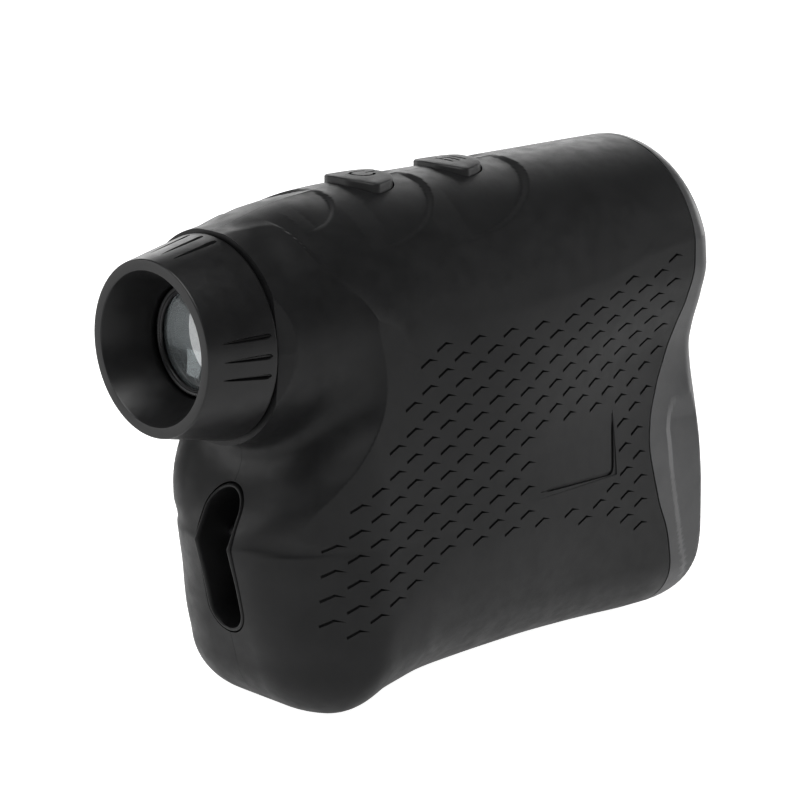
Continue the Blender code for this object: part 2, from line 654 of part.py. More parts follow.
def build_usb_flap():
    hinge = (-16.9, USB_Y, USB_Z + 2.7)
    outline = ((-17.7, USB_Z - 3.2), (-16.5, USB_Z - 3.2), (-16.5, USB_Z + 3.2), (-17.7, USB_Z + 3.2))
    flap = prism("usb_flap", outline, "y", USB_Y - 6.6, USB_Y + 6.6, "seal_rubber", hinge)
    plug = box("plug_usb_flap", (-16.8, USB_Y - 4.2, USB_Z - 1.3), (-14.8, USB_Y + 4.2, USB_Z + 1.4), None)
    boolean(flap, plug, "UNION")


def build_screws():
    profile = ((0, 5.4), (0.5, 5.4), (0.8, 5.0), (0.8, -5.6), (1.8, -5.6), (1.8, -6.9), (1.4, -7.2), (0, -7.2))
    for i, (y, z) in enumerate(SCREWS, 1):
        turned(f"housing_screw_{i}", profile, "x", (0, y, z), "steel", 12)


def build_chassis():
    plate = box("optical_chassis", (-11.5, 30.5, -18.0), (11.5, 62.0, -16.9 + 0.0), "inner_plastic")
    boolean(plate, rod("cut_chassis_laser", 5.6, -30, 0, (0, 45.0, 0), None, "z", 28))
    boolean(plate, box("cut_chassis_flex", (-12.6, 35.4, -30), (-7.0, 42.6, 0), None))


clear_scene()
PARTS = collection("laser_rangefinder")
CUTTERS = collection("cutters")
build_shells()
build_cover()
build_strap_slot()
build_eyepiece()
build_optics()
build_electronics()
build_buttons()
build_usb_flap()
build_screws()
build_chassis()
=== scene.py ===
"""Looks of the compact laser rangefinder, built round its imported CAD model.

Design frame, in millimetres: X right, Y forward along the line of sight, Z up, origin on the eyepiece
axis in the plane of the eyecup rim. place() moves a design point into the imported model's frame.
"""

import json
import math

import bmesh
import bpy
import numpy as np
from mathutils import Matrix, Vector


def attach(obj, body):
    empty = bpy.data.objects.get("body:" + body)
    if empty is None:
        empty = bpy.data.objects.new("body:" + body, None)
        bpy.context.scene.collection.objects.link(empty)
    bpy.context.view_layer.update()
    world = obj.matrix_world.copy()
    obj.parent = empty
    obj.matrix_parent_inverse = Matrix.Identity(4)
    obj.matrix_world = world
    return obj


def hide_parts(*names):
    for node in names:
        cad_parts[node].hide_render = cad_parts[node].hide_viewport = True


MM = 0.001
GAP = 0.03  # half-shell seam in the visual model
WALL = 1.8
Z_BASE = -54.1
FRONT = 93.4
Y_MID = FRONT / 2
BOSS_END = 10.5
CAVITY_REAR = 12.6
CREASE = 0.06
OBJ_Z = 1.0
RX_Z = -37.0
SLOT_TOP, SLOT_BOTTOM, SLOT_R, BEND_Z = -20.8, -42.0, 3.85, -28.8
BUTTONS = {"power_button": 38.0, "mode_button": 55.0}
CAP_TOP = 18.7
CROWN = 24.0
SCREWS = ((66.0, -17.0), (27.7, -48.4), (62.0, -46.6), (26.2, -15.2))
USB_Y, USB_Z = 38.0, -32.0

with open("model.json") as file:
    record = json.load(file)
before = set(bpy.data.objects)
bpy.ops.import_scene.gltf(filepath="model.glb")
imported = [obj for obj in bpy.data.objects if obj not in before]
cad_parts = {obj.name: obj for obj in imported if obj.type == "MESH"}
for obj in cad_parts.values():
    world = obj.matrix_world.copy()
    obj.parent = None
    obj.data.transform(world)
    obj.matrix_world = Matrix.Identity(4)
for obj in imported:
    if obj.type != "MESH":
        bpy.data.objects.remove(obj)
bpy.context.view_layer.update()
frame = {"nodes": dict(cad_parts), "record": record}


# ---------------------------------------------------------------- body shape
def curve(t, knots):
    """A smooth curve through (t, value) knots that never overshoots them."""
    xs = np.array([k[0] for k in knots], float)
    ys = np.array([k[1] for k in knots], float)
    d = np.diff(ys) / np.diff(xs)
    m = np.zeros_like(ys)
    both = d[:-1] * d[1:] > 0
    m[1:-1][both] = 2 * d[:-1][both] * d[1:][both] / (d[:-1][both] + d[1:][both])
    m[0], m[-1] = d[0], d[-1]
    t = np.clip(t, xs[0], xs[-1])
    i = np.clip(np.searchsorted(xs, t) - 1, 0, len(xs) - 2)
    h = xs[i + 1] - xs[i]
    s = (t - xs[i]) / h
    value = (1 + 2 * s) * (1 - s) ** 2 * ys[i] + s * (1 - s) ** 2 * h * m[i]
    return value + s * s * (3 - 2 * s) * ys[i + 1] + s * s * (s - 1) * h * m[i + 1]


def smooth_max(a, b, k):
    h = np.maximum(k - np.abs(a - b), 0.0) / k
    return np.maximum(a, b) + h * h * k / 4


def smooth_min(a, b, k):
    return -smooth_max(-a, -b, k)


def round_max(a, b, r):
    """Two walls met by a fillet of radius r."""
    return np.hypot(np.maximum(a + r, 0), np.maximum(b + r, 0)) - r + np.minimum(np.maximum(a, b) + r, 0)


def tube_axis(y):
    return curve(y, ((0, -0.3), (10, -0.1), (25, 0.8), (40, 1.0), (100, 1.0)))


def tube_radius(y):
    return curve(y, ((-5, 14.5), (9, 14.6), (13, 14.9), (17, 15.6), (23, 16.4), (34, 17.0), (60, 17.3), (100, 17.4)))


def tube(x, y, z):
    """The round upper lobe."""
    return round_max(np.hypot(x, z - tube_axis(y)) - tube_radius(y), BOSS_END - 4 - y, 0.5)


def side_lean(y):
    """How far from upright the flank leans, in radians: nearly flat over the neck, steep further forward."""
    knots = ((12, 88), (17, 78), (18.7, 50), (21.9, 31), (26, 19), (30.8, 10), (34, 9), (60, 9))
    return np.radians(curve(y, knots))


def flank(x, y, z):
    """The round top of the upper lobe, carried straight down at the side lean."""
    r = tube_radius(y) - 0.15
    dz = z - tube_axis(y)
    lean = side_lean(y)
    straight = np.abs(x) - (r * np.cos(lean) + (r * np.sin(lean) - dz) * np.tan(lean))
    return np.where(dz > np.abs(x) * np.tan(lean), np.hypot(x, dz) - r, straight * np.cos(lean))


def rear_low(z):
    """The rear face of the grip, below the bend of the strap slot."""
    return curve(z, ((-60, 16.2), (-46, 14.0), (-42, 13.0), (-35, 11.5), (-28.8, 9.9), (-20, 8.2), (0, 4)))


def rear_high(z):
    """The rear face of the neck, above the bend of the strap slot."""
    return curve(
        z,
        ((-60, -4), (-40, 4.0), (-28.8, 9.9), (-24.5, 11.9), (-20.7, 14.2), (-16, 17.3), (-8, 22.5), (0, 25),
         (8, 27), (20, 29)),
    )


def rear_line(z):
    """How far back the rear reaches at each height: furthest at the bend of the strap slot."""
    return np.maximum(rear_low(z), rear_high(z))


def neck(x, y, z):
    """From the round eyepiece boss down and out to the grip."""
    wide = curve(z, ((-60, 18.3), (-28.8, 18.3), (-25.4, 19.8), (-21, 21.6), (-18, 22.3), (-9, 22.5), (0, 21.5)))
    corner = curve(z, ((-60, 17), (-28.8, 17), (-25.4, 15.2), (-21, 14), (0, 14)))
    return smooth_min(tube(x, y, z), round_max(np.abs(x) - wide, rear_high(z) - y, corner), 6.0)


def panel(x, y, z):
    """The grip panels: slab-sided at mid length, waisted towards the figure-eight front."""
    t = np.clip((y - 46) / 46, 0, 1)
    t = t * t * (3 - 2 * t)
    crown = curve(y, ((28, 0.0028), (34, 0.0027), (44, 0.0023), (60, 0.0018), (70, 0.0013)))
    middle = 18.3 - crown * np.maximum(z + 20, 0) ** 2
    front = curve(
        z,
        ((-60, 16.2), (-40, 16.4), (-33, 16.3), (-27, 15.8), (-20, 14.5), (-15, 13.5), (-12, 13.2),
         (-9, 13.8), (-4, 15.6), (1, 16.9), (6, 16.7), (12, 16), (20, 15)),
    )
    return np.abs(x) - ((1 - t) * middle + t * front)


def grip(x, y, z):
    """The side panels carried round the rear corners to the lower rear face."""
    corner = curve(z, ((-60, 13), (-42, 14), (-33, 16), (-28, 17), (0, 17)))
    return round_max(panel(x, y, z), rear_low(z) - y, corner)


def finger_scoop(x, y, z):
    out = curve(
        y,
        ((16, 9), (24, 6.2), (29, 4.1), (34, 2.9), (40, 1.8), (47, 1.3), (55, 0.9), (63.5, 0.7), (72, 1.1),
         (78.5, 1.8), (84, 2.6), (100, 3.5)),
    )
    return (np.abs(x) - (13.4 + out + (z + 46) * 0.384)) * 0.93


def body(x, y, z):
    """Signed depth of the whole outer skin, negative inside."""
    side = smooth_max(smooth_max(flank(x, y, z), grip(x, y, z), CREASE), neck(x, y, z), CREASE)
    side = smooth_max(side, finger_scoop(x, y, z), 2.5)
    fillet = curve(y, ((0, 7.5), (20, 8), (30, 9.5), (45, 11), (80, 10.5), (100, 11)))
    return round_max(side, Z_BASE - z, fillet)


def shell_skin(x, y, z):
    """The skin run on past the seam, where the shells are then cut."""
    return np.maximum(body(x, y, z), y - 99)


def cavity(x, y, z):
    return np.maximum(smooth_max(body(x, y, z) + WALL, CAVITY_REAR - y, 1.0), y - 97)


def front_plane(z):
    return curve(z, ((-60, 89), (-54, 90.6), (-48, 92.6), (-40, FRONT), (-12, FRONT), (2, 92.6), (20, 91.6)))


def cover_skin(x, y, z):
    return round_max(body(x, y, z), y - front_plane(z), 3.0)


def cover_hollow(x, y, z):
    return smooth_max(body(x, y, z) + WALL + GAP, y - front_plane(z) + 2.6, 1.0)


def part_line(z):
    """The seam between the clamshell and the front cover, seen from the side."""
    return curve(
        z,
        ((-60, 88), (-54.1, 87.5), (-48, 86.2), (-43, 85), (-38, 83.6), (-33.8, 81.9), (-29, 80.7),
         (-25.5, 80.2), (-21.3, 81.0), (-16.9, 83.2), (-11.5, 86.4), (-8, 87.4), (-4, 88.0), (5, 88.3), (20, 88.5)),
    )


# Rays that find the skin: from (y, z) on an inner loop towards (y, z) on the side outline.
RAYS = (
    (30, -2, -6, 2), (29, -1.5, -6, 6), (28, -1, -6, 12), (28, 0, 2, 15), (28, 1, 10, 15), (29, 2, 16, 17),
    (31, 3, 24, 18), (36, 4, 34, 18), (50, 4, 50, 18), (66, 4, 66, 18), (76, 4, 78, 18), (82, 3, 90, 18),
    (84, 2, 100, 16), (85, 0, 110, 8), (85, -6, 110, -3), (84, -14, 110, -14), (84, -22, 110, -22),
    (84, -30, 110, -32), (83, -36, 106, -46), (80, -39, 92, -54), (74, -40, 78, -54), (60, -40, 60, -54),
    (45, -40, 44, -54), (36, -39, 31, -54), (31, -37, 20, -52), (29, -34, 14, -46), (28, -31, 11, -38),
    (28, -28, 10, -29), (28, -24, 12, -24), (28, -20, 15, -20.5), (28, -14, 17, -17.2), (28, -9, 13.5, -16),
    (28, -6, 10, -15.3), (28.5, -4, 2, -14.5), (29, -3.2, -6, -9), (29.5, -2.6, -6, -4),
)
CENTRE = (56.0, -18.0)
SHOOT_REACH, SHOOT_STEP = 60.0, 1.5


def ray_loop(count):
    """Rays spread round the outline, closest along the top, as rows of (y, z, towards y, towards z)."""
    rows = np.array(RAYS, float)
    on_top = (rows[:, 3] > 11) & (rows[:, 2] < 70)
    step = np.hypot(*(np.roll(rows[:, 2:], -1, 0) - rows[:, 2:]).T) * np.where(on_top, 2.2, 1.0) + 2.0
    along = np.concatenate([[0], np.cumsum(step)])
    closed = np.vstack([rows, rows[:1]])
    at = np.linspace(0, along[-1], count, endpoint=False)
    return np.column_stack([np.interp(at, along, closed[:, c]) for c in range(4)])


def shoot(depth, start, way):
    """The first points along the rays where depth turns positive."""
    low, high = np.zeros(len(start)), np.full(len(start), SHOOT_REACH)
    left = np.arange(len(start))
    for t in np.arange(SHOOT_STEP, SHOOT_REACH, SHOOT_STEP):
        out = depth(*(start[left] + way[left] * t).T) > 0
        low[left[out]], high[left[out]] = t - SHOOT_STEP, t
        left = left[~out]
        if not len(left):
            break
    for _ in range(13):
        middle = (low + high) / 2
        out = depth(*(start + way * middle[:, None]).T) > 0
        high = np.where(out, middle, high)
        low = np.where(out, low, middle)
    return start + way * ((low + high) / 2)[:, None]


def half_skin(depth, around, across, inward):
    """Right half of a skin: rings of points from the outline at X = 0 in to a pole on the side."""
    rays = ray_loop(around)
    flat = rays[:, 2:] - rays[:, :2]
    flat /= np.linalg.norm(flat, axis=1)[:, None]
    zero = np.zeros(around)
    rings = []
    for j in range(across + 1):
        a = j / across * math.pi / 2
        way = np.column_stack([zero + math.sin(a), math.cos(a) * flat])
        rings.append(shoot(depth, np.column_stack([zero, rays[:, :2]]), way))
    sideways = np.tile([1.0, 0.0, 0.0], (around, 1))
    for j in range(1, inward):
        t = j / inward
        s = 1 - t * (0.5 + 0.5 * t)
        at = np.array(CENTRE) + s * (rays[:, :2] - CENTRE)
        rings.append(shoot(depth, np.column_stack([zero, at]), sideways))
    pole = shoot(depth, np.array([[0.0, *CENTRE]]), sideways[:1])
    return rings, pole


def grid_faces(first, count, rings, flip):
    faces = []
    for j in range(rings - 1):
        for i in range(count):
            a, b = first + j * count + i, first + j * count + (i + 1) % count
            face = (a, a + count, b + count, b)
            faces.append(face[::-1] if flip else face)
    last = first + (rings - 1) * count
    for i in range(count):
        face = (last + i, last + count, last + (i + 1) % count)
        faces.append(face[::-1] if flip else face)
    return faces


# ---------------------------------------------------------------- fine detail of the skin
# Thumb steps: (centre y, length, centre and height along the girth from the top, depth).
THUMB_STEPS = ((20.5, 8.4, 1.0, 9.2, 0.4), (29.0, 16.2, 3.0, 12.9, 0.5), (42.0, 21.8, 3.0, 14.4, 0.55))
STEP_WALL = 0.7


def thumb_steps(x, y, z):
    """Depth of the crescent steps beside the buttons: a steep curved wall that dies away to the rear."""
    girth = 17.2 * np.arctan2(np.abs(x), np.maximum(z - tube_axis(y), 0.01))
    depth = np.zeros_like(y)
    for y0, long, v0, tall, deep in THUMB_STEPS:
        inside = (1 - np.hypot((y - y0) / long, (girth - v0) / tall)) * tall
        wall = np.clip(inside / STEP_WALL, 0, 1)
        fade = np.clip(1 - (inside - STEP_WALL) / (tall - STEP_WALL), 0, 1) ** 1.5
        along = np.sin(math.pi * np.clip(girth / (v0 + tall), 0, 1)) ** 0.6
        ahead = np.clip((y - y0) / (0.25 * long) + 0.3, 0, 1)
        depth = np.maximum(depth, deep * wall * fade * along * ahead)
    return np.where(z > tube_axis(y), depth, 0.0)


def fine_skin(x, y, z):
    return shell_skin(x, y, z) + thumb_steps(x, y, z)


def cover_crease(z):
    """Where the side band of the front cover meets its lower lobe."""
    return curve(
        z,
        ((-60, 92), (-46, 88.6), (-42, 87.0), (-36, 85.6), (-30, 84.6), (-24, 84.4), (-20, 86), (-16, 90), (20, 94)),
    )


def fine_cover(x, y, z):
    """The cover with its lower lobe set in a little ahead of the side band."""
    ahead = np.clip((y - cover_crease(z)) / 1.3, 0, 1)
    low = np.clip((-19 - z) / 3.0, 0, 1) * np.clip((z + 50) / 4.0, 0, 1)
    return np.maximum(cover_skin(x, y, z), body(x, y, z) + 0.4 * ahead * low)


def gradient(depth, points):
    """Unit outward normals of a depth field at design points."""
    step = 0.02
    out = np.empty_like(points)
    for axis in range(3):
        shift = np.zeros(3)
        shift[axis] = step
        out[:, axis] = depth(*(points + shift).T) - depth(*(points - shift).T)
    return out / np.maximum(np.linalg.norm(out, axis=1), 1e-9)[:, None]


def side_x(y, z):
    """Half width of the body at side-view points (y, z)."""
    y, z = np.atleast_1d(np.asarray(y, float)), np.atleast_1d(np.asarray(z, float))
    start = np.column_stack([np.zeros_like(y), y, z])
    return shoot(fine_skin, start, np.tile([1.0, 0.0, 0.0], (len(y), 1)))[:, 0]


# ---------------------------------------------------------------- mesh helpers
# The CUT slot takes darker rubber: painted shade in the insides of recesses, pits, grooves and bores.
SKIN, CUT = 0, 1  # material slots of a moulded piece: its surface, and the insides of its recesses
SKIN_WITHIN, SKIN_FACING = 0.03, 0.3  # how near the field a skin point lies, and how far its face agrees with it


def place(p):
    return Vector((p[0] * MM, (p[1] - Y_MID) * MM, (p[2] - Z_BASE) * MM))


def to_scene(points):
    return (np.asarray(points, float) - (0, Y_MID, Z_BASE)) * MM


def to_design(points):
    return np.asarray(points, float) / MM + (0, Y_MID, Z_BASE)


def make(name, points, faces, cut=False, tidy=True):
    """A mesh object from design points. A cut one marks its faces with the CUT slot."""
    mesh = bpy.data.meshes.new(name)
    mesh.from_pydata(to_scene(points).tolist(), [], faces)
    if tidy:
        bm = bmesh.new()
        bm.from_mesh(mesh)
        bmesh.ops.recalc_face_normals(bm, faces=bm.faces)
        bm.to_mesh(mesh)
        bm.free()
    obj = bpy.data.objects.new(name, mesh)
    bpy.context.scene.collection.objects.link(obj)
    if cut:
        # Cut faces get the darker rubber of painted shade once the piece is dressed.
        for _ in range(2):
            mesh.materials.append(None)
        mesh.polygons.foreach_set("material_index", [CUT] * len(mesh.polygons))
    return obj


def carve(obj, *tools):
    """Cuts the tools out of obj for good, and removes them."""
    while len(obj.data.materials) < 2:
        obj.data.materials.append(None)
    for tool in tools:
        mod = obj.modifiers.new(tool.name, "BOOLEAN")
        mod.operation = "DIFFERENCE"
        mod.solver = "MANIFOLD"
        mod.object = tool
    graph = bpy.context.evaluated_depsgraph_get()
    mesh = bpy.data.meshes.new_from_object(obj.evaluated_get(graph))
    obj.modifiers.clear()
    obj.data = mesh
    for tool in tools:
        bpy.data.objects.remove(tool, do_unlink=True)
    return obj


def smooth(obj, angle=32.0):
    """Smooth shading with an edge kept sharp where faces meet at more than the angle."""
    bm = bmesh.new()
    bm.from_mesh(obj.data)
    limit = math.radians(angle)
    for face in bm.faces:
        face.smooth = True
    for edge in bm.edges:
        edge.smooth = len(edge.link_faces) == 2 and edge.calc_face_angle(0) < limit
    bm.to_mesh(obj.data)
    bm.free()
    return obj


def skin_normals(obj, depth):
    """Shades the outer skin by the field's own normals, and every other face flat."""
    mesh = obj.data
    n_loops, n_faces = len(mesh.loops), len(mesh.polygons)
    co = np.empty(len(mesh.vertices) * 3, np.float32)
    mesh.vertices.foreach_get("co", co)
    points = to_design(co.reshape(-1, 3))
    on_skin = np.abs(depth(*points.T)) < SKIN_WITHIN
    field = gradient(depth, points)
    vertex = np.empty(n_loops, np.int32)
    mesh.loops.foreach_get("vertex_index", vertex)
    flat = np.empty(n_faces * 3, np.float32)
    mesh.polygons.foreach_get("normal", flat)
    sides = np.empty(n_faces, np.int32)
    mesh.polygons.foreach_get("loop_total", sides)
    slot = np.empty(n_faces, np.int32)
    mesh.polygons.foreach_get("material_index", slot)
    face = np.repeat(np.arange(n_faces), sides)
    flat = flat.reshape(-1, 3)[face]
    use = on_skin[vertex] & (slot[face] == SKIN) & ((field[vertex] * flat).sum(1) > SKIN_FACING)
    normals = np.where(use[:, None], field[vertex], flat)
    mesh.polygons.foreach_set("use_smooth", [True] * n_faces)
    mesh.normals_split_custom_set(normals.tolist())
    return obj


def prism(name, outline, axis, low, high, cut=True):
    """A closed outline pushed along an axis: (y, z) along x, (x, z) along y, (x, y) along z."""
    def at(p, t):
        return {"x": (t, *p), "y": (p[0], t, p[1]), "z": (*p, t)}[axis]

    n = len(outline)
    points = [at(p, low) for p in outline] + [at(p, high) for p in outline]
    faces = [tuple(range(n))[::-1], tuple(range(n, 2 * n))]
    faces += [(i, (i + 1) % n, n + (i + 1) % n, n + i) for i in range(n)]
    return make(name, points, faces, cut)


def fillet(points, radius, closed=True, steps=4):
    """The outline with each corner rounded."""
    points = [np.array(p, float) for p in points]
    n = len(points)
    out = []
    for i, p in enumerate(points):
        if not closed and i in (0, n - 1):
            out.append(tuple(p))
            continue
        before, after = points[i - 1] - p, points[(i + 1) % n] - p
        room = min(radius, 0.45 * np.linalg.norm(before), 0.45 * np.linalg.norm(after))
        a = p + before / np.linalg.norm(before) * room
        b = p + after / np.linalg.norm(after) * room
        for k in range(steps + 1):
            t = k / steps
            out.append(tuple((1 - t) ** 2 * a + 2 * t * (1 - t) * p + t * t * b))
    return out


SPIN = {
    "x": lambda r, h, c, s: (h, r * c, r * s),
    "y": lambda r, h, c, s: (r * c, h, r * s),
    "z": lambda r, h, c, s: (r * c, r * s, h),
}


def lathe(name, profile, pivot=(0, 0, 0), axis="y", count=128, closed=True, cut=False):
    """A turned piece from (radius, distance along the axis). An open profile starts and ends on the axis."""
    angles = [2 * math.pi * i / count for i in range(count)]
    rows, points, faces = [], [], []
    for r, h in profile:
        first = len(points)
        if r < 1e-6:
            points.append(tuple(a + b for a, b in zip(pivot, SPIN[axis](0, h, 1, 0))))
            rows.append([first] * count)
            continue
        for a in angles:
            points.append(tuple(p + q for p, q in zip(pivot, SPIN[axis](r, h, math.cos(a), math.sin(a)))))
        rows.append(list(range(first, first + count)))
    pairs = list(zip(rows, rows[1:])) + ([(rows[-1], rows[0])] if closed else [])
    for a, b in pairs:
        for i in range(count):
            k = (i + 1) % count
            face = tuple(dict.fromkeys((a[i], a[k], b[k], b[i])))
            faces.append(face)
    return make(name, points, faces, cut)


def rod(name, r, low, high, pivot, axis="y", count=64, cut=True, edge=0.0):
    profile = [(0, low), (r, low), (r, high), (0, high)]
    if edge:
        profile = fillet(profile, edge, closed=False)
    return lathe(name, profile, pivot, axis, count, closed=False, cut=cut)


def loft(name, rings, cut=False):
    """Rings of points joined in order, with flat ends."""
    n = len(rings[0])
    points = [p for ring in rings for p in ring]
    faces = []
    for j in range(len(rings) - 1):
        for i in range(n):
            a, b = j * n + i, j * n + (i + 1) % n
            faces.append((b, a, a + n, b + n))
    last = (len(rings) - 1) * n
    faces += [tuple(range(n)), tuple(range(last, last + n))[::-1]]
    return make(name, points, faces, cut)


def box(name, low, high):
    """A block that cuts, from its lowest corner to its highest."""
    (a, b, c), (d, e, f) = low, high
    return prism(name, [(a, b), (d, b), (d, e), (a, e)], "z", c, f)


# ---------------------------------------------------------------- materials
GRAIN_ROUGHNESS = 0.6
RAMP_FROM, RAMP_TO = 0.35, 0.65  # the part of the noise's range that a ramp spreads over
DARKER, LIGHTER = 0.86, 1.14  # how far a moulded colour is mottled
GLOSS_SWING = 0.05  # how far its roughness varies
GLASS_IOR, COATING_IOR = 1.8, 2.4


def nodes_of(name):
    material = bpy.data.materials.new(name)
    material.use_nodes = True
    tree = material.node_tree
    return material, tree, tree.nodes["Principled BSDF"]


def grain(tree, scale, detail=2.0):
    """Noise in the object's own space, which follows the piece when it moves."""
    place_node = tree.nodes.get("Place") or tree.nodes.new("ShaderNodeTexCoord")
    place_node.name = "Place"
    noise = tree.nodes.new("ShaderNodeTexNoise")
    noise.inputs["Scale"].default_value = scale
    noise.inputs["Detail"].default_value = detail
    noise.inputs["Roughness"].default_value = GRAIN_ROUGHNESS
    tree.links.new(place_node.outputs["Object"], noise.inputs["Vector"])
    return noise.outputs["Fac"]


def ramp(tree, source, low, high):
    """Colours or greys spread over part of the source's range."""
    made = tree.nodes.new("ShaderNodeValToRGB")
    made.color_ramp.elements[0].position = RAMP_FROM
    made.color_ramp.elements[1].position = RAMP_TO
    for element, value in zip(made.color_ramp.elements, (low, high)):
        element.color = (*value, 1) if isinstance(value, tuple) else (value, value, value, 1)
    tree.links.new(source, made.inputs["Fac"])
    return made.outputs["Color"]


def bump(tree, height, depth):
    made = tree.nodes.new("ShaderNodeBump")
    made.inputs["Strength"].default_value = 1.0
    made.inputs["Distance"].default_value = depth
    tree.links.new(height, made.inputs["Height"])
    return made.outputs["Normal"]


def moulded(name, colour, roughness, fine=9000, relief=0.00002, specular=0.5, metallic=0.0, coat=0.0):
    """Moulded or coated surface: mottled colour, uneven gloss and a fine texture."""
    material, tree, shader = nodes_of(name)
    dark = tuple(c * DARKER for c in colour)
    light = tuple(c * LIGHTER for c in colour)
    tree.links.new(ramp(tree, grain(tree, 160, 4), dark, light), shader.inputs["Base Color"])
    gloss = ramp(tree, grain(tree, 420, 3), roughness - GLOSS_SWING, roughness + GLOSS_SWING)
    tree.links.new(gloss, shader.inputs["Roughness"])
    tree.links.new(bump(tree, grain(tree, fine, 3), relief), shader.inputs["Normal"])
    shader.inputs["Specular IOR Level"].default_value = specular
    shader.inputs["Metallic"].default_value = metallic
    shader.inputs["Coat Weight"].default_value = coat
    return material


def glass(name, tint, reflect):
    """Optical glass with a coloured coating, uneven by a hair."""
    material, tree, shader = nodes_of(name)
    dark = tuple(c * 0.9 for c in tint)
    tree.links.new(ramp(tree, grain(tree, 90, 2), dark, tint), shader.inputs["Base Color"])
    shader.inputs["Roughness"].default_value = 0.04
    shader.inputs["IOR"].default_value = GLASS_IOR
    shader.inputs["Transmission Weight"].default_value = 0.85
    shader.inputs["Coat Weight"].default_value = reflect
    shader.inputs["Coat Roughness"].default_value = 0.02
    shader.inputs["Coat IOR"].default_value = COATING_IOR
    tree.links.new(bump(tree, grain(tree, 300, 2), 0.000002), shader.inputs["Normal"])
    return material


def make_materials():
    return {
        "body_shell": moulded("soft_touch_rubber", (0.0098, 0.0099, 0.0103), 0.42, relief=0.000008, specular=0.21),
        # Darker rubber for the insides of recesses, pits and grooves: painted shade in place of their occlusion.
        "recess": moulded("rubber_painted_recess_shade", (0.0035, 0.0035, 0.0037), 0.8, specular=0.15),
        "cover_shell": moulded("satin_cover", (0.056, 0.056, 0.058), 0.36, fine=14000, relief=0.00001),
        "grip_ring": moulded(
            "grip_ring_rubber", (0.0095, 0.0095, 0.0099), 0.34, fine=12000, relief=0.000008, specular=0.32
        ),
        "black_metal": moulded("black_anodised", (0.012, 0.012, 0.013), 0.32, 20000, 0.000004, 0.5, 0.3),
        "button_rubber": moulded("button_rubber", (0.012, 0.012, 0.0125), 0.5, 12000, 0.000012, specular=0.3),
        "seal_rubber": moulded("seal_rubber", (0.02, 0.02, 0.021), 0.6, 9000, 0.00002),
        "steel": moulded("turned_steel", (0.5, 0.5, 0.51), 0.3, 16000, 0.000006, 0.5, 1.0),
        "board": moulded("circuit_board", (0.02, 0.12, 0.05), 0.4, 1500, 0.00004, 0.5, 0.0, 0.3),
        "chip": moulded("chip_epoxy", (0.02, 0.02, 0.022), 0.5),
        "inner_plastic": moulded("inner_plastic", (0.007, 0.007, 0.0075), 0.5, 9000, 0.00001, specular=0.3),
        "foil": moulded("battery_foil", (0.5, 0.51, 0.53), 0.35, 900, 0.00008, 0.5, 0.9),
        "flex": moulded("flex_ribbon", (0.4, 0.19, 0.04), 0.4, 2500, 0.00002),
        "lens_glass": glass("coated_glass", (0.62, 0.68, 0.7), 1.0),
    }


LOOKS = make_materials()


def dress(obj, slot, body="body", replaces=()):
    """Gives a finished piece its materials and its body, and hides the CAD nodes it replaces."""
    mesh = obj.data
    mesh.materials.clear()
    mesh.materials.append(LOOKS[slot])
    # Slot CUT: the darker rubber painted into recesses as shade.
    mesh.materials.append(LOOKS["recess"])
    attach(obj, body)
    if replaces:
        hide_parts(*replaces)
    return obj


# ---------------------------------------------------------------- cutters
def stadium(r, top, bottom):
    """The strap slot's outline in (x, z): two half circles joined by straight sides, with a point at the bend."""
    steps = 24
    arc = [math.pi * i / steps for i in range(steps + 1)]
    upper = [(r * math.cos(a), top - r + r * math.sin(a)) for a in arc]
    lower = [(-r * math.cos(a), bottom + r - r * math.sin(a)) for a in arc]
    side = np.linspace(top - r, bottom + r, 9)[1:-1]
    side = sorted({*side.tolist(), BEND_Z}, reverse=True)
    return upper + [(-r, z) for z in side] + lower + [(r, z) for z in side[::-1]]


def key_outline(grow):
    """A key's outline in (x, y) about its centre: a wide flat rear edge with round corners, and a round front."""
    steps = 120
    circles = ((-4.1, -1.9, 1.2), (4.1, -1.9, 1.2), (-1.0, -0.7, 3.9), (1.0, -0.7, 3.9))
    points = []
    for i in range(steps):
        a = 2 * math.pi * (i + 0.5) / steps
        c, d = math.cos(a), math.sin(a)
        x, y, r = max(circles, key=lambda at: at[0] * c + at[1] * d + at[2])
        points.append((x + (r + grow) * c, y + (r + grow) * d))
    return points


def seam_tool(name, offset, forward):
    heights = np.linspace(24, -60, 169)
    line = [(float(part_line(z)) + offset, float(z)) for z in heights]
    far = 130 if forward else -40
    return prism(name, line + [(far, -60), (far, 24)], "x", -30, 30)


PITCH_Y, PITCH_Z = 6.28, 1.78
FIRST_PIT = (2.48, -0.25)
PLATE = (54.8, 72.3, -27.7, -18.2)  # blank plate: y and z limits


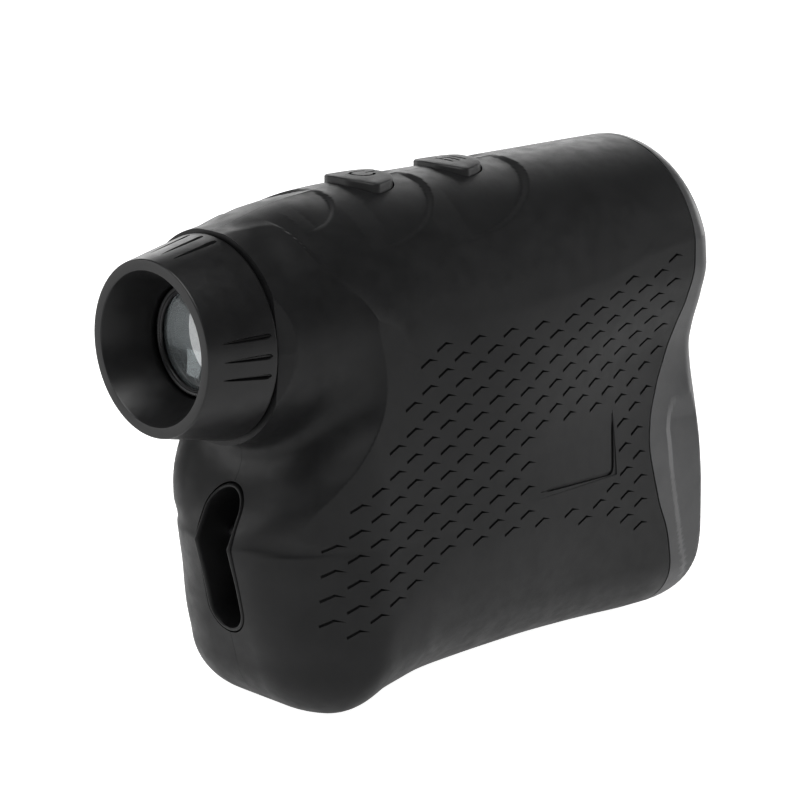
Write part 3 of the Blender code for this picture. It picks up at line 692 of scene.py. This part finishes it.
def pit_centres():
    """Where the chevron pits sit on the grip panel: each row is half a pitch on from the one above."""
    spots = []
    for row in range(-4, 26):
        z = FIRST_PIT[1] - PITCH_Z * row
        for col in range(0, 15):
            spots.append((FIRST_PIT[0] + PITCH_Y * (col + 0.5 * (row % 2)), z))
    spots = np.array([s for s in spots if 15.8 < s[0] < 87.5])
    y, z = spots.T
    ends = []
    for dy, dz in ((0, 0.4), (-1.9, -1.1), (1.9, -0.7)):
        py, pz = y + dy, z + dz
        x = side_x(py, pz)
        edge = np.maximum(flank(x, py, pz), finger_scoop(x, py, pz) + 0.1)
        ends.append(edge < -0.04)
    keep = np.logical_and.reduce(ends)
    rear = curve(z, ((-46, 16.4), (-26, 16.4), (-23.5, 19), (-21.6, 20), (-19.8, 23), (-16.3, 26), (-12.7, 27.5),
                     (-10.9, 29), (-7.4, 30), (-5.6, 31.5), (-3.8, 33), (-2, 34), (4, 60), (10, 84)))
    lower = curve(y, ((15, -38.6), (18, -38.6), (21.3, -40.2), (24.5, -38.6), (30.7, -35), (37, -31.4), (62, -31.4),
                      (65.3, -33.1), (71.6, -33.4), (77.8, -36.8), (84, -38)))
    upper = curve(y, ((30, -6), (34, -3), (36, -1.5), (56, -1.2), (60, -0.8), (65.3, 0.2), (71.6, 1.5), (74.7, 2.2),
                      (77.8, 4), (81, 5.6), (87, 6.5)))
    keep &= (y > rear) & (z > lower) & (z < upper) & (y < part_line(z) - 2.3)
    beside = np.where(y < 70, PLATE[2] - 1.5, PLATE[2] - 0.4)
    keep &= ~((y > PLATE[0] - 1.8) & (y < PLATE[1] + 1.6) & (z > beside) & (z < PLATE[3] + 1.2))
    return spots[keep]


GROOVE_TAPER = 0.07  # share of a groove's length at each end

# One pit's outline (y, z) about its apex and how deep it is at each corner.
PIT = ((-1.7, -0.84, 0.4), (0.0, 0.0, 0.55), (1.6, -0.55, 0.03), (0.1, -0.36, 0.2), (-1.6, -1.24, 0.2))


def pit_tool(name, spots, side):
    """All the chevron pits as one cutter."""
    points, faces = [], []
    slope = (side_x(spots[:, 0] + 0.5, spots[:, 1]) - side_x(spots[:, 0] - 0.5, spots[:, 1]))
    facing = (1 + slope**2) ** -0.2  # pits narrow a little as the skin turns to the rear
    corners = [side_x(spots[:, 0] + dy * facing, spots[:, 1] + dz) for dy, dz, _ in PIT]
    for k, (y, z) in enumerate(spots):
        first = len(points)
        for (dy, dz, _), x in zip(PIT, corners):
            points.append((side * (x[k] + 1.0), y + dy * facing[k], z + dz))
        for (dy, dz, deep), x in zip(PIT, corners):
            points.append((side * (x[k] - deep / facing[k]), y + dy * facing[k], z + dz))
        a = [first + i for i in range(10)]
        faces += [(a[0], a[1], a[3], a[4]), (a[1], a[2], a[3])]
        faces += [(a[9], a[8], a[6], a[5]), (a[8], a[7], a[6])]
        faces += [(a[i], a[5 + i], a[5 + (i + 1) % 5], a[(i + 1) % 5]) for i in range(5)]
    return make(name, points, faces, cut=True)


def plate_tools(side):
    """The blank plate: a recess that deepens towards its lower front corner, edged there by a groove."""
    y0, y1, z0, z1 = PLATE
    ys, zs = np.linspace(y0, y1, 9), np.linspace(z1, z0, 6)
    grid_y, grid_z = (g.ravel() for g in np.meshgrid(ys, zs))
    x = side_x(grid_y, grid_z)
    deep = 0.02 + 0.1 * (grid_y - y0) / (y1 - y0) * (z1 - grid_z) / (z1 - z0)
    n = len(grid_y)
    points = [(side * (a + 1), b, c) for a, b, c in zip(x, grid_y, grid_z)]
    points += [(side * (a - d), b, c) for a, b, c, d in zip(x, grid_y, grid_z, deep)]
    wide, faces = len(ys), []
    for j in range(len(zs) - 1):
        for i in range(wide - 1):
            a = j * wide + i
            quad = (a, a + 1, a + 1 + wide, a + wide)
            faces += [quad, tuple(n + v for v in quad[::-1])]
    rim = list(range(wide)) + [wide * (j + 1) - 1 for j in range(1, len(zs))]
    rim += [wide * (len(zs) - 1) + i for i in range(wide - 2, -1, -1)] + [wide * j for j in range(len(zs) - 2, 0, -1)]
    faces += [(a, b, n + b, n + a) for a, b in zip(rim, rim[1:] + rim[:1])]
    recess = make("cut_plate_recess", points, faces)
    corner = fillet([(y1 - 0.2, z1 - 0.5), (y1 - 0.9, z0 + 0.4), (y0 + 0.5, z0 + 1.0)], 0.9, closed=False, steps=6)
    return recess, groove("cut_plate_edge", corner, 0.28, 0.4, side)


def groove(name, path, half, deep, side):
    """A channel along a side-view path, shallower and narrower at its very ends."""
    fine = []
    for a, b in zip(path, path[1:]):
        count = max(1, int(math.dist(a, b) / 0.8))
        fine += [(a[0] + (b[0] - a[0]) * i / count, a[1] + (b[1] - a[1]) * i / count) for i in range(count)]
    fine.append(path[-1])
    line = np.array(fine)
    way = np.gradient(line, axis=0)
    way /= np.linalg.norm(way, axis=1)[:, None]
    off = np.column_stack([-way[:, 1], way[:, 0]])
    t = np.linspace(0, 1, len(line))
    size = np.clip(np.minimum(t, 1 - t) / GROOVE_TAPER, 0.35, 1)
    walls = []
    for sign in (1, -1):
        edge = line + off * (half * sign * np.maximum(size, 0.4))[:, None]
        walls.append((edge, side_x(edge[:, 0], edge[:, 1])))
    rings = []
    for k in range(len(line)):
        (p, px), (q, qx) = ((edge[k], x[k]) for edge, x in walls)
        cut_in = deep * size[k]
        rings.append(
            [(side * (px + 1), *p), (side * (px - cut_in), *p), (side * (qx - cut_in), *q), (side * (qx + 1), *q)]
        )
    return loft(name, rings, cut=True)


# ---------------------------------------------------------------- body pieces
SKIN_AROUND, SKIN_ACROSS, SKIN_INWARD = 640, 110, 32
HALF_SEAM = 0.15  # how far each shell stops short of the seam with the front cover


def half_mesh(name, side, outer, inner):
    """A half shell from ready-made right-hand rings of its outer and inner skins."""
    around = len(outer[0][0])
    points = np.vstack(outer[0] + [outer[1]] + inner[0] + [inner[1]])
    points[:, 0] = np.maximum(points[:, 0], GAP / 2) * side
    flip = side < 0
    second = len(outer[0]) * around + 1
    faces = grid_faces(0, around, len(outer[0]), flip) + grid_faces(second, around, len(inner[0]), not flip)
    for i in range(around):
        a, b = i, (i + 1) % around
        face = (second + a, a, b, second + b)
        faces.append(face[::-1] if flip else face)
    return make(name, points, faces, tidy=False)


def whole_mesh(name, depth, around, across, inward, cut=False):
    rings, pole = half_skin(depth, around, across, inward)
    right = np.vstack(rings + [pole])
    count = len(right)
    faces = grid_faces(0, around, len(rings), False)
    mirror = [tuple(v if v < around else v + count - around for v in f[::-1]) for f in faces]
    left = right[around:] * (-1, 1, 1)
    return make(name, np.vstack([right, left]), faces + mirror, cut, tidy=False)


def make_shells():
    outer = half_skin(fine_skin, SKIN_AROUND, SKIN_ACROSS, SKIN_INWARD)
    inner = half_skin(cavity, SKIN_AROUND, 8, 2)
    spots = pit_centres()
    for side, tag in ((1, "right"), (-1, "left")):
        half = half_mesh("shell_" + tag, side, outer, inner)
        tools = [
            seam_tool("cut_ahead", -HALF_SEAM, True),
            box("cut_boss_end", (-20, -20, -15.9), (20, BOSS_END, 25)),
            rod("cut_eyepiece_bore", 11.4, 5, 20, (0, 0, 0), count=128),
            prism("cut_strap_slot", stadium(SLOT_R, SLOT_TOP, SLOT_BOTTOM), "y", 2, 22),
            pit_tool("cut_pits", spots, side),
            *plate_tools(side),
        ]
        for y in BUTTONS.values():
            tools.append(prism("cut_well", [(a, y + b) for a, b in key_outline(0.25)], "z", 12, 24))
        if side < 0:
            for y, z in SCREWS:
                tools.append(rod("cut_screw_head", 2.2, -30, -5.3, (0, y, z), "x", 48))
            recess = fillet([(USB_Y - 7, USB_Z - 3.6), (USB_Y + 7, USB_Z - 3.6), (USB_Y + 7, USB_Z + 3.9),
                             (USB_Y - 7, USB_Z + 3.9)], 1.2, steps=6)
            tools.append(prism("cut_usb_recess", recess, "x", -30, -16.1))
            tools.append(box("cut_usb_window", (-17, USB_Y - 4.8, USB_Z - 2), (-10, USB_Y + 4.8, USB_Z + 2)))
        carve(half, *tools)
        skin_normals(half, fine_skin)
        dress(half, "body_shell", replaces=("housing_" + tag,))


def make_cover():
    cover = whole_mesh("front_shell", fine_cover, 420, 90, 12)
    objective = [(0, 70), (12.6, 70), (12.6, 92.2), (13.4, 95), (0, 95)]
    receiver = [(0, 70), (10.3, 70), (10.3, 92.4), (11.1, 95.2), (0, 95.2)]
    tools = [
        seam_tool("cut_behind", HALF_SEAM, False),
        whole_mesh("cut_cover_hollow", cover_hollow, 140, 12, 3, cut=True),
    ]
    for name, bore, z in (("cut_objective_bore", objective, OBJ_Z), ("cut_receiver_bore", receiver, RX_Z)):
        tools.append(lathe(name, fillet(bore, 0.3, closed=False), (0, 0, z), closed=False, cut=True))
    carve(cover, *tools)
    skin_normals(cover, fine_cover)
    dress(cover, "cover_shell", replaces=("front_cover",))


def make_strap_slot():
    """The thin rounded lip of the strap slot with its pocket, and the bar across it."""
    def row(inset, lift, depth=None):
        outline = stadium(SLOT_R - inset, SLOT_TOP - inset, SLOT_BOTTOM + inset)
        return [(x, float(rear_line(z)) + lift if depth is None else depth, z) for x, z in outline]

    rings = [
        row(0.2, 0, 20.0), row(0.2, 0.5), row(0.22, 0.02), row(0.3, -0.1), row(0.45, -0.15), row(0.6, -0.1),
        row(0.7, 0.02), row(0.74, 0.5), row(0.9, 0, 18.6), row(1.3, 0, 19.0),
    ]
    lip = loft("strap_slot_lip", rings)
    dress(smooth(lip, 40), "inner_plastic", replaces=("strap_liner",))
    bar = rod("strap_slot_bar", 0.9, -3.0, 3.0, (0, 16.4, BEND_Z), "x", 48, cut=False, edge=0.2)
    dress(smooth(bar), "steel", replaces=("strap_bar",))


def make_eyepiece():
    profile = [
        (11.9, 14.6), (11.9, 15.3), (10.1, 15.3), (10.1, 9.4), (8.6, 9.4), (8.6, 7.2), (7.9, 7.2), (7.9, 6.4),
        (8.5, 5.0), (10.42, 0.12), (10.5, 0.0), (11.85, 0.0), (11.98, 0.15), (13.2, 6.0), (14.0, 9.9), (13.8, 10.2),
        (11.0, 10.2), (11.0, 14.6),
    ]
    grip = lathe("eyepiece_grip", fillet(profile, 0.1, steps=3), count=192)
    notches = []
    for quarter in range(4):
        for k in (-1, 0, 1):
            notches.append(math.radians(90 * quarter) + k * 2.6 / 13.2)
    carve(grip, notch_tool(notches))
    dress(smooth(grip, 25), "grip_ring", "diopter", ("diopter_ring",))
    stop = [
        (7.6, 7.2), (7.6, 9.2), (8.3, 9.2), (8.3, 10.9), (7.4, 10.9), (7.4, 12.0), (6.6, 12.0), (6.6, 10.0),
        (7.1, 10.0), (7.1, 7.6), (6.75, 7.6), (6.75, 7.35), (6.95, 7.2), (7.15, 7.3), (7.35, 7.2),
    ]
    ring = lathe("eyepiece_stop", fillet(stop, 0.08, steps=2), count=160)
    dress(smooth(ring, 25), "black_metal", "lens_cell", ("eyepiece_stop_ring",))
    make_lens("eye_glass", 6.95, 8.0, 9.4, 0.7, 0.5, 0.0, "lens_cell", "eye_lens")


def notch_tool(angles):
    """Tapered finger notches round the grip ring: pointed towards the eye, widest at the body."""
    points, faces = [], []
    steps = [  # y, half width, depth
        (2.3, 0.05, 0.05), (3.2, 0.16, 0.3), (5.0, 0.27, 0.45), (8.4, 0.4, 0.55), (9.0, 0.34, 0.5), (9.25, 0.15, 0.3),
    ]
    for a in angles:
        first = len(points)
        out = np.array((math.cos(a), 0, -math.sin(a)))
        side = np.array((math.sin(a), 0, math.cos(a)))
        for y, half, deep in steps:
            r = 12.0 + (y - 0.35) * 0.2124 if y < 6 else 13.2 + (y - 6) * 0.2051
            for s, d in ((1, r + 1.5), (1, r), (0.25, r - deep), (-0.25, r - deep), (-1, r), (-1, r + 1.5)):
                points.append(tuple(out * d + side * half * s + (0, y, 0)))
        for j in range(len(steps) - 1):
            for i in range(6):
                p, q = first + j * 6 + i, first + j * 6 + (i + 1) % 6
                faces.append((p, q, q + 6, p + 6))
        last = first + 6 * (len(steps) - 1)
        faces += [tuple(range(first, first + 6))[::-1], tuple(range(last, last + 6))]
    return make("cut_notches", points, faces, cut=True)


def make_lens(name, r, rear, front, rear_sag, front_sag, z, body, node):
    """A biconvex lens between two heights along the line of sight, each face bulging by its sag."""
    steps = 14
    arc = [(r * i / steps, front + front_sag * (1 - (i / steps) ** 2)) for i in range(steps + 1)]
    arc += [(r * i / steps, rear - rear_sag * (1 - (i / steps) ** 2)) for i in range(steps, -1, -1)]
    piece = lathe(name, arc, (0, 0, z), count=96, closed=False)
    dress(smooth(piece, 30), "lens_glass", body, (node,))


def make_front_optics():
    """Lenses in the front cover, each behind a threaded retaining ring."""
    make_lens("objective_glass", 12.2, 83.8, 86.2, 0.8, 1.6, OBJ_Z, "body", "objective_lens")
    make_lens("receiver_glass", 9.9, 83.4, 86.0, 0.4, 1.8, RX_Z, "body", "receiver_lens")
    for name, node, r_out, r_in, front, z in (
        ("objective_bezel", "objective_ring", 12.2, 11.0, 91.4, OBJ_Z),
        ("receiver_bezel", "receiver_ring", 9.9, 8.8, 91.8, RX_Z),
    ):
        profile = [(r_out, 88.2), (r_out, front), (r_in + 0.7, front)]
        for k in range(4):
            y = front - 0.5 - 0.75 * k
            profile += [(r_in + 0.35, y), (r_in + 0.1, y - 0.3)]
        profile.append((r_in, 88.2))
        ring = lathe(name, profile, (0, 0, z), count=128)
        dress(smooth(ring, 25), "black_metal", "body", (node,))


def arc_outline(r, half, start, end):
    """A thick arc in (x, y) as a closed outline, between two angles in degrees."""
    steps = 28
    angles = np.radians(np.linspace(start, end, steps))
    outer = [((r + half) * math.cos(a), (r + half) * math.sin(a)) for a in angles]
    inner = [((r - half) * math.cos(a), (r - half) * math.sin(a)) for a in angles[::-1]]
    return outer + inner


def make_buttons():
    """Wide crowned keys with a rounded edge; a power sign is sunk in one and three bars in the other."""
    levels = ((0.0, -3.0), (0.0, -0.3), (-0.04, -0.16), (-0.13, -0.06), (-0.28, 0.0), (-1.2, 0.0), (-2.4, 0.0))
    for name, y in BUTTONS.items():
        rings = []
        for grow, drop in levels:
            lift = [CAP_TOP - CROWN + math.sqrt(CROWN**2 - a * a) + drop for a, _ in key_outline(grow)]
            rings.append([(a, y + b, 15.7 if drop < -1 else z) for (a, b), z in zip(key_outline(grow), lift)])
        middle = [(a * 0.4, y + (b + 0.9) * 0.4 - 0.9) for a, b in key_outline(-2.4)]
        rings.append([(a, b, CAP_TOP - CROWN + math.sqrt(CROWN**2 - a * a)) for a, b in middle])
        cap = loft(name + "_cap", rings)
        if name == "power_button":
            signs = [arc_outline(1.7, 0.22, 125, 415), [(-0.22, 0.6), (0.22, 0.6), (0.22, 2.5), (-0.22, 2.5)]]
        else:
            signs = [[(-1.8, a - 0.22), (1.8, a - 0.22), (1.8, a + 0.22), (-1.8, a + 0.22)] for a in (-1.3, 0, 1.3)]
        tools = [prism("cut_sign", [(a, y + b - 0.2) for a, b in sign], "z", 18.05, 21) for sign in signs]
        carve(cap, *tools)
        key = "power_key" if name == "power_button" else "mode_key"
        dress(smooth(cap, 30), "button_rubber", key, (name,))


def make_usb_flap():
    """The rubber flap over the port, with a finger notch, and its plug."""
    y0, y1, z0, z1 = USB_Y - 6.6, USB_Y + 6.6, USB_Z - 3.2, USB_Z + 3.2
    rings = []
    for x, inset in ((-16.5, 0.0), (-17.4, 0.0), (-17.6, 0.08), (-17.7, 0.3)):
        low, high = (y0 + inset, z0 + inset), (y1 - inset, z1 - inset)
        corners = [low, (high[0], low[1]), high, (low[0], high[1])]
        rings.append([(x, *p) for p in fillet(corners, 1.3, steps=7)])
    flap = loft("port_cover", rings)
    lip = prism("cut_flap_notch", arc_outline(1.6, 0.3, 200, 340), "x", -19, -17.45)
    lip.data.transform(Matrix.Translation(place((0, USB_Y, USB_Z - 0.6)) - place((0, 0, 0))))
    carve(flap, lip)
    dress(smooth(flap, 30), "seal_rubber", "port_flap", ("usb_flap",))
    plug = [(USB_Y + a, USB_Z + b) for a, b in ((-4.2, -1.3), (4.2, -1.3), (4.2, 1.4), (-4.2, 1.4))]
    peg = prism("port_plug", fillet(plug, 0.9, steps=6), "x", -16.45, -14.8, cut=False)
    dress(smooth(peg, 30), "seal_rubber", "port_flap")


def make_screws():
    """Case screws with a cross recess, seen from the left."""
    for k, (y, z) in enumerate(SCREWS, 1):
        head = [(0, 5.4), (0.5, 5.4), (0.8, 5.0), (0.8, -5.6), (1.8, -5.6), (1.8, -6.7), (1.45, -7.1), (0, -7.2)]
        screw = lathe(f"case_screw_{k}", fillet(head, 0.15, closed=False), (0, y, z), "x", 48, closed=False)
        blades = [prism("cut_cross", [(y - a, z - b), (y + a, z - b), (y + a, z + b), (y - a, z + b)], "x", -9, -6.3)
                  for a, b in ((1.1, 0.18), (0.18, 1.1))]
        carve(screw, *blades)
        dress(smooth(screw, 30), "steel", "body", (f"housing_screw_{k}",))


def dress_cad_nodes():
    """Procedural finishes for the CAD nodes that are kept as they are."""
    for entry in frame["record"]["materials"]:
        for node in entry.get("nodes", []):
            mesh = frame["nodes"][node].data
            mesh.materials.clear()
            mesh.materials.append(LOOKS[entry["slot"]])


# ---------------------------------------------------------------- studio
def glow(name, colour, seen, lighting):
    """A pale surface that glows more for the camera than for what it lights."""
    material, tree, shader = nodes_of(name)
    tree.links.new(ramp(tree, grain(tree, 3, 2), tuple(c * 0.985 for c in colour), colour), shader.inputs["Base Color"])
    shader.inputs["Roughness"].default_value = 0.9
    shader.inputs["Emission Color"].default_value = (1, 1, 1, 1)
    path = tree.nodes.new("ShaderNodeLightPath")
    made = tree.nodes.new("ShaderNodeMapRange")
    made.inputs["To Min"].default_value = lighting
    made.inputs["To Max"].default_value = seen
    tree.links.new(path.outputs["Is Camera Ray"], made.inputs["Value"])
    tree.links.new(made.outputs["Result"], shader.inputs["Emission Strength"])
    return material


def make_floor():
    mesh = bpy.data.meshes.new("floor")
    mesh.from_pydata([(-6, -6, -0.0003), (6, -6, -0.0003), (6, 6, -0.0003), (-6, 6, -0.0003)], [], [(0, 1, 2, 3)])
    mesh.materials.append(glow("pale_floor", (0.6, 0.6, 0.6), 1.0, 0.5))
    floor = bpy.data.objects.new("floor", mesh)
    bpy.context.scene.collection.objects.link(floor)


def softbox(name, azimuth, elevation, distance, width, height, power):
    """An area light aimed at the middle of the body. Azimuth 0 is ahead (+Y) and 90 is right (+X)."""
    light = bpy.data.lights.new(name, "AREA")
    light.shape = "RECTANGLE"
    light.size, light.size_y = width, height
    light.energy = power
    obj = bpy.data.objects.new(name, light)
    a, e = math.radians(azimuth), math.radians(elevation)
    way = Vector((math.sin(a) * math.cos(e), math.cos(a) * math.cos(e), math.sin(e)))
    middle = Vector((0, 0, 0.04))
    obj.location = middle + way * distance
    obj.rotation_mode = "QUATERNION"
    obj.rotation_quaternion = way.to_track_quat("Z", "Y")
    obj.visible_camera = False
    bpy.context.scene.collection.objects.link(obj)


def make_world():
    """A dim sky that is brightest at the horizon. The camera sees only the floor."""
    world = bpy.data.worlds.new("studio")
    world.use_nodes = True
    tree = world.node_tree
    back = tree.nodes["Background"]
    where = tree.nodes.new("ShaderNodeTexCoord")
    split = tree.nodes.new("ShaderNodeSeparateXYZ")
    tree.links.new(where.outputs["Generated"], split.inputs["Vector"])
    made = tree.nodes.new("ShaderNodeMapRange")
    made.inputs["From Min"].default_value = 0.0
    made.inputs["From Max"].default_value = 0.12
    made.inputs["To Min"].default_value = 0.25
    made.inputs["To Max"].default_value = 0.1
    tree.links.new(split.outputs["Z"], made.inputs["Value"])
    tree.links.new(made.outputs["Result"], back.inputs["Strength"])
    back.inputs["Color"].default_value = (1, 1, 1, 1)
    bpy.context.scene.world = world


def make_camera():
    """Right rear, a little above, with a long lens."""
    azimuth, elevation = math.radians(46.68), math.radians(14.58)
    level = math.cos(elevation)
    forward = Vector((-math.sin(azimuth) * level, math.cos(azimuth) * level, -math.sin(elevation)))
    data = bpy.data.cameras.new("camera")
    data.lens, data.sensor_width = 138.6, 36.0
    data.clip_start, data.clip_end = 0.01, 50.0
    camera = bpy.data.objects.new("camera", data)
    camera.location = place((307.56, -245.05, 95.10))
    camera.rotation_mode = "QUATERNION"
    camera.rotation_quaternion = forward.to_track_quat("-Z", "Y")
    bpy.context.scene.collection.objects.link(camera)
    bpy.context.scene.camera = camera


make_camera()
make_world()
make_floor()
softbox("rim_far", -45, 18, 1.6, 1.6, 0.8, 10)
softbox("side_ahead", 8, 5, 1.4, 0.8, 0.7, 7)
softbox("side_rear", -135, 10, 1.4, 0.9, 0.7, 5)
softbox("above_rear", 160, 68, 1.3, 1.0, 0.8, 14)
dress_cad_nodes()
make_shells()
make_cover()
make_strap_slot()
make_eyepiece()
make_front_optics()
make_buttons()
make_usb_flap()
make_screws()
bpy.context.scene.view_settings.view_transform = "Standard"
